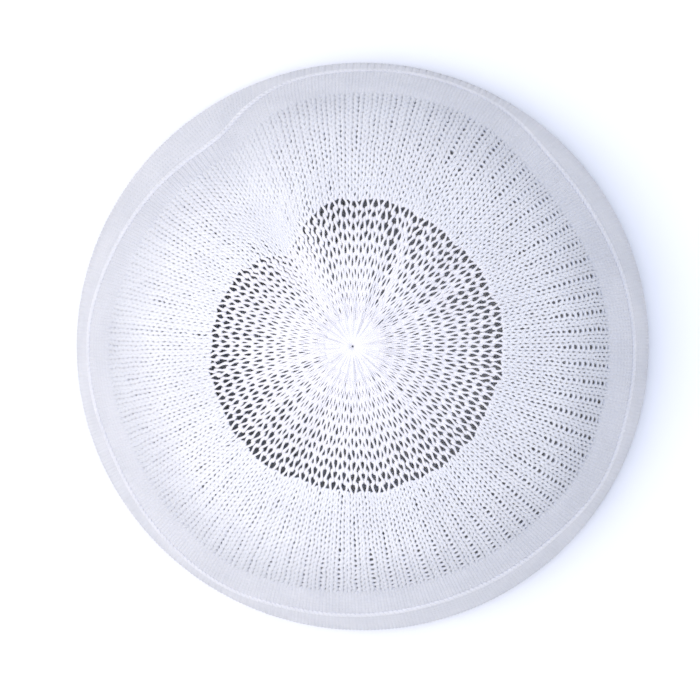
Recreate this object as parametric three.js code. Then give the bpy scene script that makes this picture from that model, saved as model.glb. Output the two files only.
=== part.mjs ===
// A machine-knitted kufi: a round, close-fitting white skull cap, standing on its rim.
// Millimetres, +Z up. The origin is the middle of the rim, at the level it stands on.
//
// The cap is knitted from the rim to the crown and drawn together there by a thread.
// Its fabric is described by two coordinates: the turn round the cap, in degrees from +X
// towards +Y, and the run, the distance over the cloth from the middle of the crown to
// the rim. A third one, the lift, is the height above the cloth's outer face.

import * as THREE from 'three';
import { mergeVertices } from 'three/addons/utils/BufferGeometryUtils.js';

// Form of the cap
const domeRadius = 89;
const domeEndSlope = 78; // degrees from level, where the dome passes into the skirt
const skirtRun = 8; // from there the wall turns upright, down to the rim
const depthShare = 0.991; // the cap is slightly oval: its depth in Y over its width in X

// Zones of the knitting: runs from the middle of the crown, then heights above the rim and the seam
const gatherHole = 0.9;
const gatherRun = 9;
const netRun = 47.2;
const hemDepth = 22;
const bandDepth = 16;
const bandFollowsHem = 0.65; // how much of the linked seam's wandering the band's start has

// Cloth
const netWall = 1.4;
const sideWall = 1.6;
const bandWall = 2.0;
const gatherWall = 3.2;
const weltWall = 3.2;
const weltProud = 0.3;
const weltRounding = 0.9;
const seamRadius = 1.0;
const seamProud = 0.55;
const pieceGap = 0.3;

// Pleats that the drawn thread makes round the middle of the crown
const pleatCount = 24;
const pleatHeight = 0.55;
const pleatRun = 26;

// Openings of the crown's net: rings of kites, set off by half a pitch from ring to ring.
// A ring's reach is a share of the net's own reach, and a kite's corners are shares of its cell.
const kitesPerRing = 24;
const netRings = [
  { from: 0, to: 0.17, width: 0.62, shift: 0 },
  { from: 0.17, to: 0.36, width: 0.72, shift: 0.5 },
  { from: 0.36, to: 0.56, width: 0.78, shift: 0 },
  { from: 0.56, to: 0.78, width: 0.8, shift: 0.5 },
  { from: 0.78, to: 1, width: 0.76, shift: 0 },
];
const kiteCorners = [
  { along: 0.08, across: 0 },
  { along: 0.52, across: 0.46 },
  { along: 0.8, across: 0.4 },
  { along: 0.88, across: 0 },
  { along: 0.8, across: -0.4 },
  { along: 0.52, across: -0.46 },
];
const cellCorners = [
  { along: 0, across: 0 },
  { along: 0, across: 0.5 },
  { along: 1, across: 0.5 },
  { along: 1, across: 0 },
  { along: 1, across: -0.5 },
  { along: 0, across: -0.5 },
];

// Where the net ends, round the cap, as a share of its run: the cloth is drawn in at the pinch
const netEdge = [
  { turn: 0, share: 0.99 },
  { turn: 60, share: 1.0 },
  { turn: 94, share: 1.0 },
  { turn: 100, share: 0.98 },
  { turn: 107, share: 0.92 },
  { turn: 115, share: 0.83 },
  { turn: 122, share: 0.8 },
  { turn: 130, share: 0.82 },
  { turn: 145, share: 0.875 },
  { turn: 160, share: 0.925 },
  { turn: 180, share: 0.96 },
  { turn: 200, share: 0.975 },
  { turn: 225, share: 1.0 },
  { turn: 253, share: 0.975 },
  { turn: 300, share: 1.0 },
];

// How high the linked seam lies over the rim, round the cap, as a share of the hem's depth
const seamHeights = [
  { turn: 0, share: 0.93 },
  { turn: 15, share: 1.02 },
  { turn: 30, share: 1.14 },
  { turn: 45, share: 1.1 },
  { turn: 60, share: 0.72 },
  { turn: 75, share: 0.64 },
  { turn: 90, share: 0.71 },
  { turn: 105, share: 0.82 },
  { turn: 115, share: 1.15 },
  { turn: 123, share: 1.46 },
  { turn: 135, share: 1.52 },
  { turn: 150, share: 1.4 },
  { turn: 165, share: 1.2 },
  { turn: 175, share: 1.02 },
  { turn: 190, share: 1.01 },
  { turn: 205, share: 1.08 },
  { turn: 225, share: 0.87 },
  { turn: 240, share: 0.77 },
  { turn: 255, share: 0.97 },
  { turn: 270, share: 1.06 },
  { turn: 285, share: 1.11 },
  { turn: 300, share: 1.07 },
  { turn: 315, share: 0.98 },
  { turn: 330, share: 0.77 },
  { turn: 345, share: 0.89 },
];

// Soft radial dents of the cloth: turn and half width in degrees, depth as a share of the
// plain dent's, and the stretch from the crown's middle to the rim that it takes up
const dentDepth = 1;
const dentFade = 0.25;
const dents = [
  { turn: 123, halfWidth: 11, depth: 1.9, from: 0.11, to: 0.91 },
  { turn: 33, halfWidth: 5, depth: 1.0, from: 0.06, to: 0.34 },
  { turn: 67, halfWidth: 5, depth: 1.0, from: 0.08, to: 0.37 },
  { turn: 195, halfWidth: 6, depth: 0.8, from: 0.06, to: 0.31 },
  { turn: 246, halfWidth: 5, depth: 0.8, from: 0.08, to: 0.36 },
  { turn: 355, halfWidth: 6, depth: 0.7, from: 0.06, to: 0.33 },
];

// Mesh steps
const roundSteps = 72;
const stepsPerPleat = 4;
const gatherRows = 2;
const sideRows = 5;
const bandRows = 2;
const seamSides = 8;
const weldDistance = 1e-4;

const degrees = Math.PI / 180;
const domeEnd = domeEndSlope * degrees;
const domeRun = domeRadius * domeEnd;
const rimRun = domeRun + skirtRun;
const seamRun = rimRun - hemDepth;
const bandRun = seamRun - bandDepth;
const skirtRadius = skirtRun / (Math.PI / 2 - domeEnd);
const capHeight = domeRadius * (1 - Math.cos(domeEnd)) + skirtRadius * Math.cos(domeEnd);

// Smooth step from 0 at low to 1 at high
function ease(value, low, high) {
  const share = Math.min(1, Math.max(0, (value - low) / (high - low)));
  return share * share * (3 - 2 * share);
}

// Value of a table's share at a turn, with a smooth curve through the rows and round the end
function shareAt(table, turn) {
  const rows = table.length;
  const wrapped = ((turn % 360) + 360) % 360;
  let row = rows - 1;
  for (let i = 0; i < rows; i += 1) {
    if (table[i].turn <= wrapped) row = i;
  }
  const at = (i) => {
    const entry = table[(i + rows) % rows];
    return { turn: entry.turn + 360 * Math.floor(i / rows), share: entry.share };
  };
  const [before, left, right, after] = [at(row - 1), at(row), at(row + 1), at(row + 2)];
  const width = right.turn - left.turn;
  const t = (wrapped - left.turn) / width;
  const leftSlope = ((right.share - before.share) / (right.turn - before.turn)) * width;
  const rightSlope = ((after.share - left.share) / (after.turn - left.turn)) * width;
  const [t2, t3] = [t * t, t * t * t];
  return (
    (2 * t3 - 3 * t2 + 1) * left.share +
    (t3 - 2 * t2 + t) * leftSlope +
    (3 * t2 - 2 * t3) * right.share +
    (t3 - t2) * rightSlope
  );
}

// Run of the net's outer edge, of the band's start and of the hem's linked seam at a turn
const netEdgeAt = (turn) => netRun * shareAt(netEdge, turn);
const seamAt = (turn) => rimRun - hemDepth * shareAt(seamHeights, turn);
const bandStartAt = (turn) => bandRun + (seamAt(turn) - seamRun) * bandFollowsHem;

// How far the cloth's outer face stands off the plain dome: the crown's pleats and the dents
function relief(turn, run) {
  const pleatFade = 1 - ease(run, gatherHole, pleatRun);
  let height = pleatHeight * pleatFade * Math.cos(pleatCount * turn * degrees);
  for (const dent of dents) {
    const away = ((turn - dent.turn + 540) % 360) - 180;
    const across = Math.exp(-((away / dent.halfWidth) ** 2));
    const [from, to] = [dent.from * rimRun, dent.to * rimRun];
    const fade = (to - from) * dentFade;
    const along = ease(run, from, from + fade) * (1 - ease(run, to - fade, to));
    height -= dentDepth * dent.depth * across * along;
  }
  return height;
}

// Point of the cap at a turn, a run and a lift above the cloth's outer face
function pointAt(turn, run, lift) {
  const onDome = Math.min(run, domeRun);
  const pastDome = run - onDome;
  const slope = onDome / domeRadius + pastDome / skirtRadius;
  const domeSlope = onDome / domeRadius;
  const height = lift + relief(turn, run);
  const outwards =
    domeRadius * Math.sin(domeSlope) +
    skirtRadius * (Math.sin(slope) - Math.sin(domeSlope)) +
    height * Math.sin(slope);
  const upwards =
    capHeight -
    domeRadius * (1 - Math.cos(domeSlope)) -
    skirtRadius * (Math.cos(domeSlope) - Math.cos(slope)) +
    height * Math.cos(slope);
  return new THREE.Vector3(
    outwards * Math.cos(turn * degrees),
    outwards * depthShare * Math.sin(turn * degrees),
    upwards,
  );
}

// Closed body from a closed section carried once round the cap.
// section(turn) gives the same number of { run, lift } corners at every turn.
function carriedRound(section, steps = roundSteps) {
  const positions = [];
  const faces = [];
  let corners = 0;
  for (let step = 0; step < steps; step += 1) {
    const turn = (360 * step) / steps;
    const outline = section(turn);
    corners = outline.length;
    for (const { run, lift } of outline) positions.push(...pointAt(turn, run, lift).toArray());
  }
  for (let step = 0; step < steps; step += 1) {
    const next = (step + 1) % steps;
    for (let corner = 0; corner < corners; corner += 1) {
      const after = (corner + 1) % corners;
      const [a, b] = [step * corners + corner, step * corners + after];
      const [c, d] = [next * corners + after, next * corners + corner];
      faces.push(a, b, c, a, c, d);
    }
  }
  return bufferOf(positions, faces);
}

function bufferOf(positions, faces) {
  const geometry = new THREE.BufferGeometry();
  geometry.setAttribute('position', new THREE.Float32BufferAttribute(positions, 3));
  geometry.setIndex(faces);
  return geometry;
}

// Section of a cloth wall: its outer face from one run to another and its inner face back
function wallSection(from, to, wall, rows) {
  const outline = [];
  for (let row = 0; row <= rows; row += 1) {
    outline.push({ run: from + ((to - from) * row) / rows, lift: 0 });
  }
  for (let row = rows; row >= 0; row -= 1) {
    outline.push({ run: from + ((to - from) * row) / rows, lift: -wall(row / rows) });
  }
  return outline;
}

// Rosette at the middle of the crown, where the last loops are drawn together
function gatherGeometry() {
  const wall = (share) => gatherWall + (netWall - gatherWall) * ease(share, 0, 1);
  return carriedRound(() => wallSection(gatherHole, gatherRun, wall, gatherRows), pleatCount * stepsPerPleat);
}

// Open net of the crown: cells with a kite through each of them. A cell has an outer and an
// inner face, each a frame of six quads between its edge and its kite, and the kite's walls.
function netGeometry() {
  const positions = [];
  const faces = [];
  const pitch = 360 / kitesPerRing;
  const inner = gatherRun + pieceGap;
  const corner = (turn, share, lift) => {
    const outer = netEdgeAt(turn) - pieceGap / 2;
    positions.push(...pointAt(turn, inner + (outer - inner) * share, lift).toArray());
    return positions.length / 3 - 1;
  };
  const quad = (a, b, c, d) => faces.push(a, b, c, a, c, d);
  for (const [index, ring] of netRings.entries()) {
    for (let cell = 0; cell < kitesPerRing; cell += 1) {
      const middle = cell + ring.shift;
      const rowOf = (corners, width, lift) =>
        corners.map(({ along, across }) =>
          corner((middle + across * width) * pitch, ring.from + (ring.to - ring.from) * along, lift),
        );
      const outerEdge = rowOf(cellCorners, 1, 0);
      const outerKite = rowOf(kiteCorners, ring.width, 0);
      const innerEdge = rowOf(cellCorners, 1, -netWall);
      const innerKite = rowOf(kiteCorners, ring.width, -netWall);
      for (let i = 0; i < kiteCorners.length; i += 1) {
        const next = (i + 1) % kiteCorners.length;
        quad(outerEdge[i], outerKite[i], outerKite[next], outerEdge[next]);
        quad(innerEdge[i], innerEdge[next], innerKite[next], innerKite[i]);
        quad(outerKite[i], innerKite[i], innerKite[next], outerKite[next]);
      }
      if (index === 0) {
        quad(outerEdge[5], outerEdge[0], innerEdge[0], innerEdge[5]);
        quad(outerEdge[0], outerEdge[1], innerEdge[1], innerEdge[0]);
      }
      if (index === netRings.length - 1) {
        quad(outerEdge[2], outerEdge[3], innerEdge[3], innerEdge[2]);
        quad(outerEdge[3], outerEdge[4], innerEdge[4], innerEdge[3]);
      }
    }
  }
  return mergeVertices(bufferOf(positions, faces), weldDistance);
}

// Dense knitting between the net and the band
function sideGeometry() {
  return carriedRound((turn) => {
    const top = netEdgeAt(turn) + pieceGap / 2;
    return wallSection(top, bandStartAt(turn) - pieceGap / 2, () => sideWall, sideRows);
  });
}

// Fine band, down to the linked seam
function bandGeometry() {
  return carriedRound((turn) => {
    const top = bandStartAt(turn) + pieceGap / 2;
    return wallSection(top, seamAt(turn) - seamRadius - pieceGap, () => bandWall, bandRows);
  });
}

// Raised roll of linked loops along the hem line
function seamGeometry() {
  const middle = seamProud - seamRadius;
  return carriedRound((turn) => {
    const outline = [];
    for (let side = 0; side < seamSides; side += 1) {
      const angle = (2 * Math.PI * side) / seamSides;
      outline.push({
        run: seamAt(turn) + seamRadius * Math.sin(angle),
        lift: middle + seamRadius * Math.cos(angle),
      });
    }
    return outline;
  });
}

// Folded hem below the seam: two layers of cloth, with a rounded fold that is flat where it stands
function weltGeometry() {
  const inner = weltProud - weltWall;
  return carriedRound((turn) => {
    const top = seamAt(turn) + seamRadius + pieceGap;
    const middle = (top + rimRun) / 2;
    return [
      { run: top, lift: weltProud - weltRounding / 3 },
      { run: top + weltRounding, lift: weltProud },
      { run: middle, lift: weltProud },
      { run: rimRun - weltRounding, lift: weltProud },
      { run: rimRun, lift: weltProud - weltRounding },
      { run: rimRun, lift: inner + weltRounding },
      { run: rimRun - weltRounding, lift: inner },
      { run: middle, lift: inner },
      { run: top, lift: inner },
    ];
  });
}

function piece(name, geometry, colour, roughness) {
  const material = new THREE.MeshStandardMaterial({ color: colour, roughness, metalness: 0 });
  const mesh = new THREE.Mesh(geometry, material);
  mesh.name = name;
  return mesh;
}

const kufi = new THREE.Group();
kufi.add(piece('crown_gather', gatherGeometry(), 0xf6f6fb, 0.9));
kufi.add(piece('crown_net', netGeometry(), 0xf4f4fb, 0.9));
kufi.add(piece('side_knit', sideGeometry(), 0xf1f2fa, 0.9));
kufi.add(piece('fine_band', bandGeometry(), 0xeceef7, 0.92));
kufi.add(piece('linked_seam', seamGeometry(), 0xf4f4fb, 0.9));
kufi.add(piece('folded_hem', weltGeometry(), 0xe9ecf6, 0.92));

export default kufi;
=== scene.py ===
import math

import bpy
import numpy as np
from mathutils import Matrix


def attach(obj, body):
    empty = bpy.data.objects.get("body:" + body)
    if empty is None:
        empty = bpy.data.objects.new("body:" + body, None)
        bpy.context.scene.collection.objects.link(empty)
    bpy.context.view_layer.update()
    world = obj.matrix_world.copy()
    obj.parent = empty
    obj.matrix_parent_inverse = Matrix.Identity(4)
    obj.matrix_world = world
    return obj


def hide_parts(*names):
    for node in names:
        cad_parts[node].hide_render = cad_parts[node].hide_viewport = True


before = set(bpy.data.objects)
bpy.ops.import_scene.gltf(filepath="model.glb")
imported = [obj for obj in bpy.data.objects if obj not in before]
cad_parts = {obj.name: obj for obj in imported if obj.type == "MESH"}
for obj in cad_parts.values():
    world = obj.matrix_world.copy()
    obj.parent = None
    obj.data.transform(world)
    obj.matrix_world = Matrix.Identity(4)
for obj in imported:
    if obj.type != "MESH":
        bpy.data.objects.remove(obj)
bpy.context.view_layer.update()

# The cloth is described as in the part: a turn round the cap in degrees, a run over the
# cloth from the middle of the crown in millimetres, and a lift above its outer face.
mm = 0.001
cap = {
    "domeRadius": 89, "domeEndSlope": math.radians(78), "skirtRun": 8, "depthShare": 0.991,
    "gatherHole": 0.9, "gatherRun": 9, "netRun": 48.2, "hemDepth": 22, "bandDepth": 16,
    "bandFollowsHem": 0.65, "pleatCount": 24, "pleatHeight": 0.55, "pleatRun": 26, "pleatsFull": 12,
    "dentDepth": 1, "dentFade": 0.25,
}
domeRun = cap["domeRadius"] * cap["domeEndSlope"]
rimRun = domeRun + cap["skirtRun"]
seamRun = rimRun - cap["hemDepth"]
bandRun = seamRun - cap["bandDepth"]
skirtRadius = cap["skirtRun"] / (math.pi / 2 - cap["domeEndSlope"])
capHeight = (cap["domeRadius"] * (1 - math.cos(cap["domeEndSlope"]))
             + skirtRadius * math.cos(cap["domeEndSlope"]))

# turn, share of the net's run
netEdge = [
    (0, 0.99), (12, 1.005), (28, 0.98), (50, 0.975), (68, 0.99), (94, 1.0), (100, 0.98), (107, 0.92),
    (115, 0.84), (121, 0.785), (129, 0.775), (136, 0.85), (147, 0.895), (160, 0.93), (180, 0.96),
    (200, 0.975),
    (225, 0.995), (253, 0.975), (300, 0.995),
]
# waves in the net's edge: how many there are round the cap, their shift in degrees, their height
netWaves = [(9, 40, 0.25), (16, 200, 0.3), (27, 310, 0.3), (41, 95, 0.2)]
# turn, height of the linked seam over the rim as a share of the hem's depth
seamHeights = [
    (0, 0.93), (15, 1.02), (30, 1.14), (45, 1.1), (60, 0.72), (75, 0.64), (90, 0.71), (105, 0.82),
    (115, 1.15), (123, 1.46), (135, 1.52), (150, 1.4), (165, 1.2), (175, 1.02), (190, 1.01),
    (205, 1.08), (225, 0.87), (240, 0.77), (255, 0.97), (270, 1.06), (285, 1.11), (300, 1.07),
    (315, 0.98), (330, 0.77), (345, 0.89),
]
# turn, half width, depth, then the stretch as shares of the run to the rim
dents = [
    (123, 11, 1.9, 0.11, 0.91), (33, 5, 1.0, 0.06, 0.34), (67, 5, 1.0, 0.08, 0.37),
    (195, 6, 0.8, 0.06, 0.31), (246, 5, 0.8, 0.08, 0.36), (355, 6, 0.7, 0.06, 0.33),
]
# turn at the crown end, lean of the line in degrees along its stretch, half width, squeeze,
# then the stretch in millimetres of run: the wales crowd together along these lines
bunches = [
    (121, 2, 13, 0.26, 16, 52), (123, 1, 15, 0.11, 44, 112), (22, 12, 5, 0.5, 8, 42),
    (52, 17, 5, 0.45, 8, 46), (193, 5, 5, 0.35, 8, 34), (214, 4, 5, 0.3, 10, 40),
    (316, -3, 5, 0.3, 9, 36), (228, 4, 4, 0.25, 14, 44), (352, 4, 4, 0.3, 8, 30),
]
# a bunch comes in and goes out over these millimetres of run, before and after each of its ends
bunchEase = {"beforeStart": 6, "afterStart": 4, "beforeEnd": 8, "afterEnd": 4}

# turn, how full the yarn is there: the side closes up on the left and is stretched on the right
netFullness = [
    (0, 0.97), (45, 1.02), (90, 1.05), (123, 1.12), (160, 1.04), (200, 1.02), (270, 1.03), (315, 0.99),
]
sideFullness = [
    (0, 0.98), (45, 1.02), (90, 1.1), (123, 1.12), (150, 1.16), (180, 1.17), (225, 1.16), (260, 1.08),
    (290, 1.02), (325, 0.98),
]
evenFullness = [(0, 1.0), (90, 1.0), (180, 1.0), (270, 1.0)]
# turn, how far the ladders of the side open there
ladderOpening = [
    (0, 1.0), (45, 0.9), (75, 0.45), (100, 0.2), (123, 0.1), (150, 0.15), (180, 0.25), (210, 0.3),
    (240, 0.4), (270, 0.65), (300, 0.9), (330, 1.0),
]


# smooth step from 0 at low to 1 at high
def easeUp(value, low, high):
    share = np.clip((value - low) / (high - low), 0, 1)
    return share * share * (3 - 2 * share)


# smooth curve through a table's rows and round its end: between two rows it is a cubic, and its
# slope at a row is that of the line between the neighbours
def roundTable(rows, turn):
    turns = np.array([row[0] for row in rows], float)
    shares = np.array([row[1] for row in rows], float)
    turns = np.concatenate([turns[-2:] - 360, turns, turns[:3] + 360])
    shares = np.concatenate([shares[-2:], shares, shares[:3]])
    slopes = (shares[2:] - shares[:-2]) / (turns[2:] - turns[:-2])
    wrapped = np.mod(turn, 360)
    row = np.searchsorted(turns, wrapped, side="right") - 1
    width = turns[row + 1] - turns[row]
    t = (wrapped - turns[row]) / width
    return ((2 * t**3 - 3 * t**2 + 1) * shares[row] + (t**3 - 2 * t**2 + t) * slopes[row - 1] * width
            + (3 * t**2 - 2 * t**3) * shares[row + 1] + (t**3 - t**2) * slopes[row] * width)


# run at which the net ends: its share of the net's run and a few small waves
def netEdgeAt(turn):
    waves = sum(height * np.cos(np.radians(count * turn + shift)) for count, shift, height in netWaves)
    return cap["netRun"] * roundTable(netEdge, turn) + waves


# run of the linked seam: its height over the rim, taken from the rim's run
def seamAt(turn):
    return rimRun - cap["hemDepth"] * roundTable(seamHeights, turn)


# run at which the band starts: it follows a share of the seam's wander
def bandStartAt(turn):
    return bandRun + (seamAt(turn) - seamRun) * cap["bandFollowsHem"]


# how far the outer face stands off the plain dome: pleats round the crown less the soft dents
def reliefAt(turn, run):
    fade = (1 - easeUp(run, cap["gatherHole"], cap["pleatRun"])) * easeUp(run, 0, cap["pleatsFull"])
    height = cap["pleatHeight"] * fade * np.cos(np.radians(cap["pleatCount"] * turn))
    for middle, halfWidth, depth, start, end in dents:
        away = np.mod(turn - middle + 180, 360) - 180
        low, high = start * rimRun, end * rimRun
        fadeRun = (high - low) * cap["dentFade"]
        along = easeUp(run, low, low + fadeRun) * (1 - easeUp(run, high - fadeRun, high))
        height = height - cap["dentDepth"] * depth * np.exp(-(away / halfWidth)**2) * along
    return height


# slope of the cloth in radians: the run over the radius, on the dome and then on the skirt
def slopeAt(run):
    onDome = np.minimum(run, domeRun)
    return onDome / cap["domeRadius"] + (run - onDome) / skirtRadius


# distance from the cap's axis to the plain dome at a run
def radiusAt(run):
    onDome = np.minimum(run, domeRun)
    onSkirt = np.sin(slopeAt(run)) - np.sin(onDome / cap["domeRadius"])
    return cap["domeRadius"] * np.sin(onDome / cap["domeRadius"]) + skirtRadius * onSkirt


# point in metres at a turn, run and lift: along the dome, then the skirt's wide arc, and out
# along the normal by the lift and the relief
def capPoint(turn, run, lift):
    slope = slopeAt(run)
    domeSlope = np.minimum(run, domeRun) / cap["domeRadius"]
    height = lift + reliefAt(turn, run)
    outwards = radiusAt(run) + height * np.sin(slope)
    upwards = (capHeight - cap["domeRadius"] * (1 - np.cos(domeSlope))
               - skirtRadius * (np.cos(domeSlope) - np.cos(slope)) + height * np.cos(slope))
    angle = np.radians(turn)
    return mm * np.stack([outwards * np.cos(angle), outwards * cap["depthShare"] * np.sin(angle),
                          upwards], axis=-1)


# outward direction of the plain dome: the turn's direction leant up by the slope
def capNormal(turn, run):
    angle, slope = np.radians(turn), slopeAt(run)
    outwards = np.sin(slope)
    return np.stack([outwards * np.cos(angle), outwards * np.sin(angle), np.cos(slope)], axis=-1)


# the wales crowd together along each bunch: a turn moves towards the bunch's line by a share
# of its distance that falls off as a bell
def crowded(turn, run):
    moved = turn.copy()
    for middle, lean, halfWidth, squeeze, start, end in bunches:
        along = np.clip((run - start) / (end - start), 0, 1)
        away = np.mod(turn - middle - lean * along + 180, 360) - 180
        comesIn = easeUp(run, start - bunchEase["beforeStart"], start + bunchEase["afterStart"])
        goesOut = easeUp(run, end - bunchEase["beforeEnd"], end + bunchEase["afterEnd"])
        reach = comesIn * (1 - goesOut)
        moved = moved - squeeze * reach * away * np.exp(-(away / halfWidth)**2)
    return moved


# what all the yarns share: a matt, softly hairy thread
anyYarn = {
    "roughness": 0.95, "sheen": 0.25, "sheenRoughness": 0.45, "specular": 0.2,
    "blotchScale": 60, "blotchDetail": 3, "shadeUpTo": 0.35, "lightFrom": 0.65,
    "plyScale": 1.0, "plyBump": 0.3, "plySway": 1.5, "plyHeight": 0.1 * mm,
    "fibreScale": 2500, "fibreDetail": 4, "fibreBump": 0.35, "fibreHeight": 0.2 * mm,
}


# a yarn with painted shade has its colour multiplied by a second one, which goes from white at the
# upper height to the fade colour at the lower: painted shade, darker towards the bottom
def paintedShadeTint(nodes, links, place, tint, settings):
    if "fade" not in settings:
        return tint.outputs["Color"]
    height = nodes.new("ShaderNodeSeparateXYZ")
    share = nodes.new("ShaderNodeMapRange")
    share.inputs["From Min"].default_value = settings["paintedShadeHeights"][0] * mm
    share.inputs["From Max"].default_value = settings["paintedShadeHeights"][1] * mm
    fade = nodes.new("ShaderNodeValToRGB")
    fade.color_ramp.elements[0].color = (*settings["fade"], 1)
    fade.color_ramp.elements[1].color = (1, 1, 1, 1)
    shadedColour = nodes.new("ShaderNodeVectorMath")
    shadedColour.operation = "MULTIPLY"
    links.new(place.outputs["Object"], height.inputs["Vector"])
    links.new(height.outputs["Z"], share.inputs["Value"])
    links.new(share.outputs["Result"], fade.inputs["Fac"])
    links.new(tint.outputs["Color"], shadedColour.inputs[0])
    links.new(fade.outputs["Color"], shadedColour.inputs[1])
    return shadedColour.outputs["Vector"]


# yarn: two near whites in soft blotches, plies that wind along it and fine fibres
def newMaterial(settings):
    material = bpy.data.materials.new(settings["name"])
    material.use_nodes = True
    nodes, links = material.node_tree.nodes, material.node_tree.links
    shader = nodes["Principled BSDF"]
    shader.inputs["Roughness"].default_value = settings["roughness"]
    shader.inputs["Sheen Weight"].default_value = settings["sheen"]
    shader.inputs["Sheen Roughness"].default_value = settings["sheenRoughness"]
    shader.inputs["Specular IOR Level"].default_value = settings["specular"]
    place = nodes.new("ShaderNodeTexCoord")
    blotch = nodes.new("ShaderNodeTexNoise")
    blotch.inputs["Scale"].default_value = settings["blotchScale"]
    blotch.inputs["Detail"].default_value = settings["blotchDetail"]
    tint = nodes.new("ShaderNodeValToRGB")
    tint.color_ramp.elements[0].position = settings["shadeUpTo"]
    tint.color_ramp.elements[0].color = (*settings["shade"], 1)
    tint.color_ramp.elements[1].position = settings["lightFrom"]
    tint.color_ramp.elements[1].color = (*settings["light"], 1)
    links.new(place.outputs["Object"], blotch.inputs["Vector"])
    links.new(blotch.outputs["Fac"], tint.inputs["Fac"])
    # the base colour carries the painted shade where a yarn has one
    links.new(paintedShadeTint(nodes, links, place, tint, settings), shader.inputs["Base Color"])
    # plies that wind round the yarn, along its own length, and loose fibres over them
    plies = nodes.new("ShaderNodeTexWave")
    plies.wave_type = "BANDS"
    plies.bands_direction = "DIAGONAL"
    plies.inputs["Scale"].default_value = settings["plyScale"]
    plies.inputs["Distortion"].default_value = settings["plySway"]
    fibres = nodes.new("ShaderNodeTexNoise")
    fibres.inputs["Scale"].default_value = settings["fibreScale"]
    fibres.inputs["Detail"].default_value = settings["fibreDetail"]
    plyBump = nodes.new("ShaderNodeBump")
    plyBump.inputs["Strength"].default_value = settings["plyBump"]
    plyBump.inputs["Distance"].default_value = settings["plyHeight"]
    fibreBump = nodes.new("ShaderNodeBump")
    fibreBump.inputs["Strength"].default_value = settings["fibreBump"]
    fibreBump.inputs["Distance"].default_value = settings["fibreHeight"]
    links.new(place.outputs["UV"], plies.inputs["Vector"])
    links.new(place.outputs["Object"], fibres.inputs["Vector"])
    links.new(plies.outputs["Fac"], plyBump.inputs["Height"])
    links.new(fibres.outputs["Fac"], fibreBump.inputs["Height"])
    links.new(plyBump.outputs["Normal"], fibreBump.inputs["Normal"])
    links.new(fibreBump.outputs["Normal"], shader.inputs["Normal"])
    return material


# mesh object from whole arrays: points, quads and a UV for each corner of a quad
def newPiece(name, points, quads, uvs, material, slot, nodesReplaced):
    mesh = bpy.data.meshes.new(name)
    mesh.vertices.add(len(points))
    mesh.vertices.foreach_set("co", points.astype(np.float32).ravel())
    mesh.loops.add(quads.size)
    mesh.loops.foreach_set("vertex_index", quads.astype(np.int32).ravel())
    mesh.polygons.add(len(quads))
    mesh.polygons.foreach_set("loop_start", np.arange(0, quads.size, 4, dtype=np.int32))
    mesh.uv_layers.new(name="yarn").data.foreach_set("uv", uvs.astype(np.float32).ravel())
    mesh.update(calc_edges=True)
    mesh.shade_smooth()
    mesh.materials.append(material)
    piece = bpy.data.objects.new(name, mesh)
    bpy.context.scene.collection.objects.link(piece)
    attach(piece, "root")
    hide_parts(*nodesReplaced)
    print("piece", name, "with", 2 * len(quads), "triangles")


# quads between the rows and columns of grids that close on themselves both ways
def closedQuads(grids, rows, columns):
    row = np.arange(rows)[:, None]
    column = np.arange(columns)[None, :]
    nextRow, nextColumn = (row + 1) % rows, (column + 1) % columns
    one = np.stack([row * columns + column, nextRow * columns + column,
                    nextRow * columns + nextColumn, row * columns + nextColumn], axis=-1)
    offsets = np.arange(grids)[:, None, None, None] * rows * columns
    return (one[None] + offsets).reshape(-1, 4)


# yarn carried along closed paths: at each point an oval stands across the path, wide along the
# cloth and low across it, between the cloth's normal and the path's side
def yarnTubes(turn, run, lift, radius, sides, flatness):
    centre = capPoint(turn, run, lift)
    ahead = np.roll(centre, -1, axis=1) - np.roll(centre, 1, axis=1)
    ahead /= np.linalg.norm(ahead, axis=-1, keepdims=True)
    side = np.cross(ahead, capNormal(turn, run))
    side /= np.linalg.norm(side, axis=-1, keepdims=True)
    over = np.cross(side, ahead)
    angle = 2 * math.pi * np.arange(sides) / sides
    ring = (flatness * np.cos(angle)[None, None, :, None] * side[:, :, None]
            + np.sin(angle)[None, None, :, None] / flatness * over[:, :, None])
    points = centre[:, :, None] + mm * radius[:, :, None, None] * ring
    paths, steps = turn.shape
    quads = closedQuads(paths, steps, sides)
    stretch = np.linalg.norm(np.roll(centre, -1, axis=1) - centre, axis=-1) / mm
    length = np.concatenate([np.zeros((paths, 1)), np.cumsum(stretch, axis=1)], axis=1)
    low, high = length[:, :-1, None], length[:, 1:, None]
    roundStart = np.arange(sides)[None, None] / sides
    roundEnd = roundStart + 1 / sides
    shape = (paths, steps, sides)
    corners = [(low, roundStart), (high, roundStart), (high, roundEnd), (low, roundEnd)]
    uvs = np.stack([np.stack([np.broadcast_to(u, shape), np.broadcast_to(v, shape)], axis=-1)
                    for u, v in corners], axis=-2)
    return points.reshape(-1, 3), quads, uvs.reshape(-1, 2)


# what all the knits share. Only the side has idle needles, whose ladders open over ladderRuns and
# whose rungs swell over rungRuns, and only the side closes up, over closingRuns
plainKnit = {
    "loopReach": 1.45, "neck": 0.22, "head": 0.3, "flatness": 1.5, "slub": 0.02,
    "fullness": evenFullness, "knotSwell": 0, "sinkerSpan": math.pi / 3,
    "closing": 0, "closingRuns": [62, 84], "tuck": 0, "ladderRuns": [56, 82],
    "rungRuns": [74, 90], "rungSwell": [0, 0], "rungSharpness": 3, "rungLift": 0,
}


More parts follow.
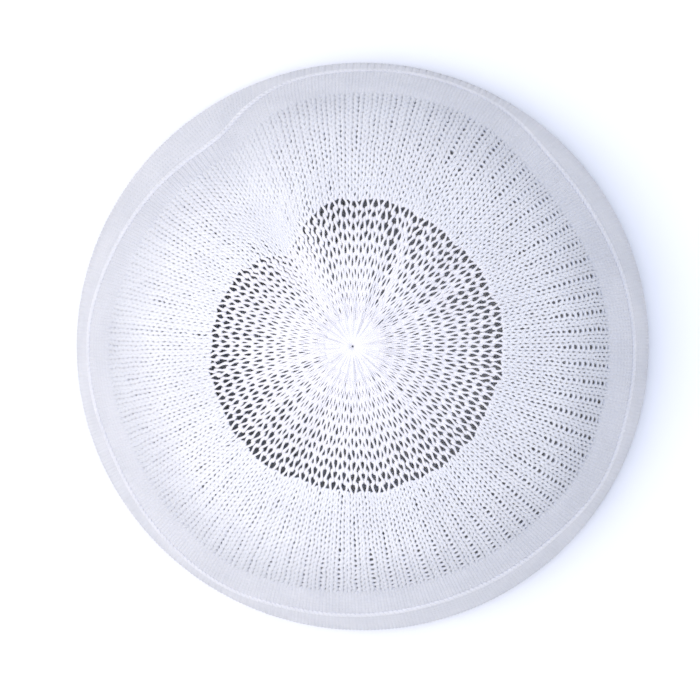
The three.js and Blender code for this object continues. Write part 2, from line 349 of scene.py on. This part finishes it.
# loops of plain knitting. Round the cap a loop goes from the middle of one sinker to the next:
# it swings in to its neck, out along its legs to its wide head and back. Along the run it
# follows a cosine whose height is more than a course, so that heads and necks interlock.
# Its legs lie outside and its head and sinker inside, as a cosine of the double angle.
def knitLoops(knit, waleTurns, topRun, bottomRun, firstCourse, lastCourse):
    draw = np.random.default_rng(knit["seed"])
    wales, steps, courses = len(waleTurns), knit["steps"], knit["courses"]
    phase = 2 * math.pi * np.arange(steps) / steps
    before = np.roll(waleTurns, 1)
    before[0] -= 360
    after = np.roll(waleTurns, -1)
    after[-1] += 360
    leftHalf, rightHalf = (waleTurns - before) / 2, (after - waleTurns) / 2
    half = np.where(phase[None, :] < math.pi, leftHalf[:, None], rightHalf[:, None])
    # each knot of the cloth, where a head holds a neck, is a little out of place
    knotTurn = draw.normal(0, knit["waleJitter"], (courses + 1, wales))
    knotRun = draw.normal(0, knit["courseJitter"], (courses + 1, wales))
    course = np.arange(firstCourse, lastCourse)[:, None, None]
    toHead = ((1 - np.cos(phase)) / 2)[None, None, :]
    fromSinker = np.minimum(phase, 2 * math.pi - phase)
    nearSinker = np.clip(1 - fromSinker / knit["sinkerSpan"], 0, 1)[None, None, :] / 2

    # how far each point of a loop is moved by its knots: the neighbour's share rises to a half at
    # the sinker, and the head follows the knot of the course before
    def knots(values):
        neighbour = np.where(phase[None, None, :] < math.pi, np.roll(values, 1, axis=1)[:, :, None],
                             np.roll(values, -1, axis=1)[:, :, None])
        blended = values[:, :, None] * (1 - nearSinker) + neighbour * nearSinker
        return (blended[firstCourse + 1:lastCourse + 1] * (1 - toHead)
                + blended[firstCourse:lastCourse] * toHead)

    base = waleTurns[None, :, None] + (phase[None, None, :] / math.pi - 1) * half[None]
    base = np.broadcast_to(base, (lastCourse - firstCourse, wales, steps))
    top, bottom = topRun(base), bottomRun(base)
    pitch = (bottom - top) / courses
    middle = top + (course + 0.5) * pitch
    arc = math.pi / 180 * radiusAt(middle)
    width = 2 * half[None] * arc
    waleWidth = 2 * np.minimum(leftHalf, rightHalf)[None, :, None] * arc
    thick = np.interp(middle, knit["yarnRuns"], knit["yarnThickness"])
    thick = thick * roundTable(knit["fullness"], base)
    # beside an idle needle a loop first takes up the room, and further out leaves it to the ladder
    opening = roundTable(ladderOpening, base)
    openHere = easeUp(middle, *knit["ladderRuns"]) * opening
    thick = thick * (1 + knit["closing"] * easeUp(middle, *knit["closingRuns"]) * (1 - opening))
    idle = np.clip(width / waleWidth - 1, 0, 1) * openHere
    room = width + (waleWidth - width) * openHere
    neck = knit["neck"] * room
    head = (knit["head"] - knit["tuck"] * idle) * room
    # an eighth of the way along, a loop passes its neck, and three eighths along, its head: the
    # swing is a sine of the phase and one of the double phase that carry it there
    outer, inner = 3 * width / 8 - neck, width / 8 - head
    swing = ((outer - inner) / 2 * np.sin(2 * phase)
             + (outer + inner) / math.sqrt(2) * np.sin(phase))
    turn = base + (swing + knots(knotTurn)) / arc
    run = middle + knit["loopReach"] * pitch / 2 * np.cos(phase) + knots(knotRun)
    depth = knit["loopDepth"] * thick
    lift = -(depth + thick / 2 / knit["flatness"]) - depth * np.cos(2 * phase)
    # the yarn looks thicker where loops cross, which rounds the holes
    thick = thick * (1 + knit["knotSwell"] * (1 - np.cos(4 * phase)) / 2)
    # over an idle needle the sinker is a rung: it lies higher and its plies spread
    rung = np.clip(knit["rungSharpness"] * nearSinker, 0, 1) * idle
    thick = thick * (1 + np.interp(middle, knit["rungRuns"], knit["rungSwell"]) * rung)
    lift = lift + knit["rungLift"] * rung
    flat = (lastCourse - firstCourse, wales * steps)
    turn, run, lift = turn.reshape(flat), run.reshape(flat), lift.reshape(flat)
    radius = thick.reshape(flat) / 2 * (1 + knit["slub"] * draw.normal(0, 1, flat))
    return yarnTubes(crowded(turn, run), run, lift, radius, knit["sides"], knit["flatness"])


# The crown's open net: one stitch for each repeat, with heads as wide as the wales
netYarn = {
    **anyYarn, "name": "netYarn", "shade": (0.85, 0.82, 0.82), "light": (0.90, 0.87, 0.865),
    "plyScale": 1.2, "plyBump": 0.4,
}
netKnit = {
    **plainKnit, "repeats": 84, "courses": 10, "steps": 18, "sides": 6, "loopReach": 1.38,
    "loopDepth": 0.5, "neck": 0.17, "head": 0.345, "flatness": 1.2, "slub": 0.03,
    "fullness": netFullness, "knotSwell": 0.72, "waleJitter": 0.16, "courseJitter": 0.28, "seed": 11,
    "yarnRuns": [9, 14, 20, 30, 40, 47], "yarnThickness": [0.37, 0.40, 0.49, 0.57, 0.58, 0.54],
}


# courses of wide loops from the gather's run to the net's edge
def makeCrownNet():
    turns = 360 * np.arange(netKnit["repeats"]) / netKnit["repeats"]
    parts = knitLoops(netKnit, turns, lambda turn: np.full_like(turn, cap["gatherRun"]), netEdgeAt,
                      0, netKnit["courses"])
    newPiece("crown_net_loops", *parts, newMaterial(netYarn), "net_yarn", ["crown_net"])


# The side: two stitches for each repeat, and an idle needle whose ladder runs down between them
sideYarn = {
    **anyYarn, "name": "sideYarn", "shade": (0.82, 0.805, 0.806), "light": (0.865, 0.85, 0.846),
    # the heights of the painted shade are millimetres over the floor: below them the side's yarn is
    # painted darker, as shade
    "plyBump": 0.4, "paintedShadeHeights": (36, 54), "fade": (0.815, 0.825, 0.845),
}
sideKnit = {
    **plainKnit, "repeats": 84, "placesInRepeat": [0.23, 0.67], "courses": 19, "steps": 12,
    "sides": 5, "underNet": 0.3, "loopDepth": 0.18, "neck": 0.16, "head": 0.36, "flatness": 1.15,
    "slub": 0.03, "fullness": sideFullness, "knotSwell": 0.35, "closing": 0.3, "tuck": 0.2,
    "rungSwell": [2.6, -0.6], "rungLift": 1.2, "waleJitter": 0.14, "courseJitter": 0.17, "seed": 23,
    "yarnRuns": [38, 46, 50, 60, 75, 92], "yarnThickness": [0.50, 0.67, 0.71, 0.78, 0.84, 0.98],
    # name, first course and the course after the last
    "pieces": [("side_knit_upper", 0, 6), ("side_knit_middle", 6, 13), ("side_knit_lower", 13, 19)],
}


# courses from just under the net's edge to the band, two loops and a gap in each repeat
def makeSideKnit():
    places = np.array(sideKnit["placesInRepeat"])
    repeats = np.arange(sideKnit["repeats"])[:, None]
    turns = (360 * (repeats + places[None, :]) / sideKnit["repeats"]).ravel()
    material = newMaterial(sideYarn)
    for name, first, last in sideKnit["pieces"]:
        parts = knitLoops(sideKnit, turns, lambda turn: netEdgeAt(turn) - sideKnit["underNet"],
                          bandStartAt, first, last)
        newPiece(name, *parts, material, "knit_yarn", ["side_knit"])


# The band: all needles knit, close together, over a thin backing of the same yarn
# the band's yarn is painted darker than the crown's: partly its own slightly greyer tone, partly
# painted shade of the steep side of the cap
bandYarn = {
    **anyYarn, "name": "bandYarn", "shade": (0.655, 0.65, 0.668), "light": (0.712, 0.703, 0.717),
}
bandKnit = {
    **plainKnit, "wales": 252, "courses": 8, "steps": 8, "sides": 5, "loopDepth": 0.08,
    "underSeam": 0.3, "waleJitter": 0.04, "courseJitter": 0.05, "seed": 37,
    "yarnRuns": [80, 92, 130], "yarnThickness": [1.1, 1.28, 1.4],
}
backing = {"turnSteps": 252, "rows": 8, "lift": -0.42, "wall": 1.4, "underSide": 0.5, "underSeam": 0.1}


# one closed section at each turn, joined round the cap
def closedSheet(turn, run, lift):
    points = capPoint(np.broadcast_to(turn, run.shape), run, np.broadcast_to(lift, run.shape))
    quads = closedQuads(1, run.shape[0], run.shape[1])[:, ::-1]
    return points.reshape(-1, 3), quads, np.zeros((quads.size, 2))


# closed wall round the cap: down its outer face from top to bottom and back up its inner one,
# which lies a wall below
def wallRound(top, bottom, liftOuter, wall, turnSteps, rows):
    turn = 360 * np.arange(turnSteps)[:, None] / turnSteps
    share = np.concatenate([np.linspace(0, 1, rows + 1), np.linspace(1, 0, rows + 1)])[None, :]
    inner = np.concatenate([np.zeros(rows + 1), np.ones(rows + 1)])[None, :]
    run = top(turn) + (bottom(turn) - top(turn)) * share
    return closedSheet(turn, run, liftOuter - wall * inner)


# courses of narrow loops from the side to just under the seam, and the backing below them
def makeFineBand():
    turns = 360 * np.arange(bandKnit["wales"]) / bandKnit["wales"]
    material = newMaterial(bandYarn)
    parts = knitLoops(bandKnit, turns, bandStartAt, lambda turn: seamAt(turn) + bandKnit["underSeam"],
                      0, bandKnit["courses"])
    newPiece("fine_band_loops", *parts, material, "band_yarn", ["fine_band"])
    parts = wallRound(lambda turn: bandStartAt(turn) + backing["underSide"],
                      lambda turn: seamAt(turn) + backing["underSeam"],
                      backing["lift"], backing["wall"], backing["turnSteps"], backing["rows"])
    newPiece("fine_band_backing", *parts, material, "band_yarn", ["fine_band"])


# The hem: folded double, with the same fine stitch on its outer face
# the hem's yarn is painted darker than the crown's: partly its own slightly greyer tone, partly
# painted shade of the steep side of the cap
hemYarn = {
    **anyYarn, "name": "hemYarn", "shade": (0.665, 0.66, 0.675), "light": (0.725, 0.715, 0.725),
}
hemKnit = {
    **plainKnit, "wales": 252, "courses": 10, "steps": 8, "sides": 4, "loopDepth": 0.14,
    "aboveRim": 1.85, "waleJitter": 0.03, "courseJitter": 0.05, "seed": 41,
    "yarnRuns": [80, 130], "yarnThickness": [1.35, 1.4],
}
hemFold = {
    "turnSteps": 252, "proud": 0.3, "wall": 3.2, "rounding": 1.1, "under": 0.52, "belowSeam": 0.2,
    "foldSteps": 6, "rows": 6,
}


# the fold's section: down the outer face, round a half oval at the rim and up the inner face
def hemSection(turn):
    top = seamAt(turn) + hemFold["belowSeam"]
    outer = hemFold["proud"] - hemFold["under"]
    inner = hemFold["proud"] - hemFold["wall"]
    middle, halfWall = (outer + inner) / 2, (outer - inner) / 2
    end = rimRun - hemFold["rounding"]
    down = top + (end - top) * np.linspace(0, 1, hemFold["rows"] + 1)[None, :]
    fold = (math.pi * np.arange(1, hemFold["foldSteps"]) / hemFold["foldSteps"])[None, :]
    foldShape = (len(turn), fold.size)
    runFold = np.broadcast_to(end + hemFold["rounding"] * np.sin(fold), foldShape)
    liftFold = np.broadcast_to(middle + halfWall * np.cos(fold), foldShape)
    run = np.concatenate([down, runFold, down[:, ::-1]], axis=1)
    lift = np.concatenate([np.full_like(down, outer), liftFold, np.full_like(down, inner)], axis=1)
    return run, lift


# courses of narrow loops from the seam to the rim, and the folded cloth below them
def makeFoldedHem():
    turns = 360 * np.arange(hemKnit["wales"]) / hemKnit["wales"]
    material = newMaterial(hemYarn)
    rimEnd = rimRun - hemKnit["aboveRim"]
    parts = knitLoops(hemKnit, turns, seamAt, lambda turn: np.full_like(turn, rimEnd),
                      0, hemKnit["courses"])
    newPiece("folded_hem_loops", *parts, material, "hem_yarn", ["folded_hem"])
    turn = 360 * np.arange(hemFold["turnSteps"])[:, None] / hemFold["turnSteps"]
    newPiece("folded_hem_cloth", *closedSheet(turn, *hemSection(turn)), material, "hem_yarn",
             ["folded_hem"])


# The linked seam: two yarns that wind round each other once for each wale
# the seam's yarn is painted darker than the crown's, near the band's tone: painted shade of the steep
# side of the cap
seamYarn = {
    **anyYarn, "name": "seamYarn", "shade": (0.74, 0.73, 0.74), "light": (0.80, 0.785, 0.79),
    "blotchScale": 90,
}
seamCord = {
    "wales": 180, "steps": 10, "sides": 6, "thickness": 1.3, "winding": 0.2, "sway": 2.6, "lift": -0.2,
    "flatness": 1.65,
}


# each yarn runs along the seam and circles it once a wale, wide along the cloth and low across
def makeLinkedSeam():
    steps = seamCord["wales"] * seamCord["steps"]
    turn = 360 * np.arange(steps) / steps
    wind = 2 * math.pi * np.arange(steps) / seamCord["steps"]
    strands = np.array([0, math.pi])[:, None]
    alongCloth = seamCord["sway"] * seamCord["winding"]
    run = seamAt(turn)[None] + alongCloth * np.sin(wind[None] + strands)
    lift = seamCord["lift"] + seamCord["winding"] * np.cos(wind[None] + strands)
    turn = np.broadcast_to(turn, run.shape)
    radius = np.full(run.shape, seamCord["thickness"] / 2)
    parts = yarnTubes(turn, run, lift, radius, seamCord["sides"], seamCord["flatness"])
    newPiece("linked_seam_loops", *parts, newMaterial(seamYarn), "seam_yarn", ["linked_seam"])


# The gather: a rosette whose wales run together into a dimple
gatherYarn = {
    **anyYarn, "name": "gatherYarn", "shade": (0.865, 0.84, 0.835), "light": (0.91, 0.885, 0.88),
    "blotchScale": 120, "plyBump": 0.2, "fibreBump": 0.4,
}
rosette = {
    "turnSteps": 756, "rows": 26, "innerRows": 3, "hole": 0.3, "reach": 10.5, "reachSway": 0.6,
    "firstSway": 3, "seed": 53,
    "wales": 84, "waleHeight": 0.08, "waleRuns": (2, 6),
    "folds": [19, 31, 43, 57], "foldHeight": 0.09, "foldRuns": (1.5, 6),
    "dimpleDepth": 1.6, "dimpleRun": 0.8, "sunk": 0.25, "rimDrop": 1, "rimRuns": (7.5, 12),
    "wall": 2.4, "thinWall": 1.4, "thinRuns": (1, 9), "innerRimDrop": 0.6,
}


# outer face: a cosine for each wale and a few cosines of other counts, which bunch the wales, on
# the pleated dome, less a bell-shaped dimple; inner face: the plain dome a wall below. The edge
# sways in and out and dips under the net's first loops.
def makeCrownGather():
    draw = np.random.default_rng(rosette["seed"])
    turn = 360 * np.arange(rosette["turnSteps"])[:, None] / rosette["turnSteps"]
    angle = np.radians(turn)
    shifts = draw.uniform(0, 2 * math.pi, (2, len(rosette["folds"])))
    folds = sum(np.cos(count * angle + shift) for count, shift in zip(rosette["folds"], shifts[0]))
    sways = enumerate(shifts[1], rosette["firstSway"])
    sway = sum(np.cos(count * angle + shift) for count, shift in sways)
    reach = rosette["reach"] + rosette["reachSway"] * sway
    down = np.linspace(0, 1, rosette["rows"] + 1)[None, :]
    back = np.linspace(1, 0, rosette["innerRows"] + 1)[None, :]
    outerRun = rosette["hole"] + (reach - rosette["hole"]) * down
    innerRun = rosette["hole"] + (reach - rosette["hole"]) * back
    wales = rosette["waleHeight"] * np.cos(rosette["wales"] * angle)
    ribs = (wales * easeUp(outerRun, *rosette["waleRuns"])
            + rosette["foldHeight"] * folds * easeUp(outerRun, *rosette["foldRuns"]))
    dimple = rosette["dimpleDepth"] * np.exp(-(outerRun / rosette["dimpleRun"])**2)
    outerRim = rosette["rimDrop"] * easeUp(outerRun, *rosette["rimRuns"])
    outerLift = ribs - dimple - rosette["sunk"] - outerRim
    thicker = (rosette["wall"] - rosette["thinWall"]) * (1 - easeUp(innerRun, *rosette["thinRuns"]))
    innerRim = rosette["innerRimDrop"] * easeUp(innerRun, *rosette["rimRuns"])
    innerLift = -rosette["thinWall"] - thicker - innerRim
    run = np.concatenate([outerRun, innerRun], axis=1)
    lift = np.concatenate([outerLift, innerLift], axis=1)
    newPiece("crown_gather_rosette", *closedSheet(turn, run, lift), newMaterial(gatherYarn),
             "gathered_yarn", ["crown_gather"])


# The camera stands nearly straight over the cap, a little to its right
view = {
    "distance": 3.0, "tilt": math.radians(2.3), "capCentrePixel": (362.7, 346.5),
    "rimRadiusPixels": 287.5, "pictureSize": 700, "sensor": 36, "clipEnd": 20,
}


# the lens makes the rim as wide in the picture as in the photo, and the camera moves sideways until
# the cap's middle lies at its place there
def makeCamera():
    rimRadius = (radiusAt(rimRun) + hemFold["proud"]) * mm
    metresPerPixel = rimRadius / view["rimRadiusPixels"]
    camera = bpy.data.cameras.new("camera")
    camera.sensor_width = view["sensor"]
    camera.lens = view["sensor"] * view["distance"] / (metresPerPixel * view["pictureSize"])
    camera.clip_end = view["clipEnd"]
    holder = bpy.data.objects.new("camera", camera)
    offsetX = (view["pictureSize"] / 2 - view["capCentrePixel"][0]) * metresPerPixel
    offsetY = (view["capCentrePixel"][1] - view["pictureSize"] / 2) * metresPerPixel
    holder.location = (offsetX + view["distance"] * math.sin(view["tilt"]), offsetY,
                       view["distance"] * math.cos(view["tilt"]))
    holder.rotation_euler = (0, view["tilt"], 0)
    bpy.context.scene.collection.objects.link(holder)
    bpy.context.scene.camera = holder


# A pale floor under a soft sky that is darker straight overhead, and a weak broad light from the
# left
studio = {
    "floorColour": (0.965, 0.96, 0.955), "floorRoughness": 0.9, "floorSize": 6, "skyStrength": 1.28,
    # height of the direction, then the sky's colour there
    "sky": [
        (0.0, (0.24, 0.24, 0.24)), (0.45, (0.72, 0.72, 0.72)), (0.8, (0.97, 1.02, 1.12)),
        (0.91, (0.31, 0.46, 0.88)),
    ],
    "keyPlace": (-1.02, -0.22, 1.95), "keyPower": 19, "keySize": 1.6, "keyColour": (1.05, 0.97, 0.90),
    "diffuseBounces": 2,
}


# the sky's colour depends on the height of the direction alone
def makeSky():
    world = bpy.data.worlds.new("studio")
    world.use_nodes = True
    nodes, links = world.node_tree.nodes, world.node_tree.links
    place = nodes.new("ShaderNodeTexCoord")
    parts = nodes.new("ShaderNodeSeparateXYZ")
    sky = nodes.new("ShaderNodeValToRGB")
    for height, colour in studio["sky"][1:-1]:
        sky.color_ramp.elements.new(height)
    for element, (height, colour) in zip(sky.color_ramp.elements, studio["sky"]):
        element.position = height
        element.color = (*colour, 1)
    links.new(place.outputs["Generated"], parts.inputs["Vector"])
    links.new(parts.outputs["Z"], sky.inputs["Fac"])
    links.new(sky.outputs["Color"], nodes["Background"].inputs["Color"])
    nodes["Background"].inputs["Strength"].default_value = studio["skyStrength"]
    bpy.context.scene.world = world
    bpy.context.scene.view_settings.view_transform = "Standard"
    bpy.context.scene.cycles.diffuse_bounces = studio["diffuseBounces"]


# turn that aims a light at the origin: its tilt from the vertical, then its heading
def aimed(place):
    reach = math.sqrt(sum(value * value for value in place))
    return (math.acos(place[2] / reach), 0, math.atan2(place[1], place[0]) + math.pi / 2)


# a square light, aimed at the middle of the floor under the cap
def makeKeyLight():
    key = bpy.data.lights.new("key", "AREA")
    key.energy = studio["keyPower"]
    key.size = studio["keySize"]
    key.color = studio["keyColour"]
    holder = bpy.data.objects.new("key", key)
    holder.location = studio["keyPlace"]
    holder.rotation_euler = aimed(studio["keyPlace"])
    bpy.context.scene.collection.objects.link(holder)


# one square at the height of the rim
def makeFloor():
    half = studio["floorSize"] / 2
    corners = [(-half, -half, 0), (half, -half, 0), (half, half, 0), (-half, half, 0)]
    mesh = bpy.data.meshes.new("floor")
    mesh.from_pydata(corners, [], [(0, 1, 2, 3)])
    material = bpy.data.materials.new("floorPaint")
    material.use_nodes = True
    paint = material.node_tree.nodes["Principled BSDF"]
    paint.inputs["Base Color"].default_value = (*studio["floorColour"], 1)
    paint.inputs["Roughness"].default_value = studio["floorRoughness"]
    mesh.materials.append(material)
    floor = bpy.data.objects.new("floor", mesh)
    bpy.context.scene.collection.objects.link(floor)


makeCamera()
makeSky()
makeKeyLight()
makeFloor()
print("camera, sky, light and floor are set")
makeCrownGather()
makeCrownNet()
print("the crown is knitted")
makeSideKnit()
makeFineBand()
print("the side and the band are knitted")
makeLinkedSeam()
makeFoldedHem()
print("the hem is folded and linked")

bpy.context.view_layer.update()
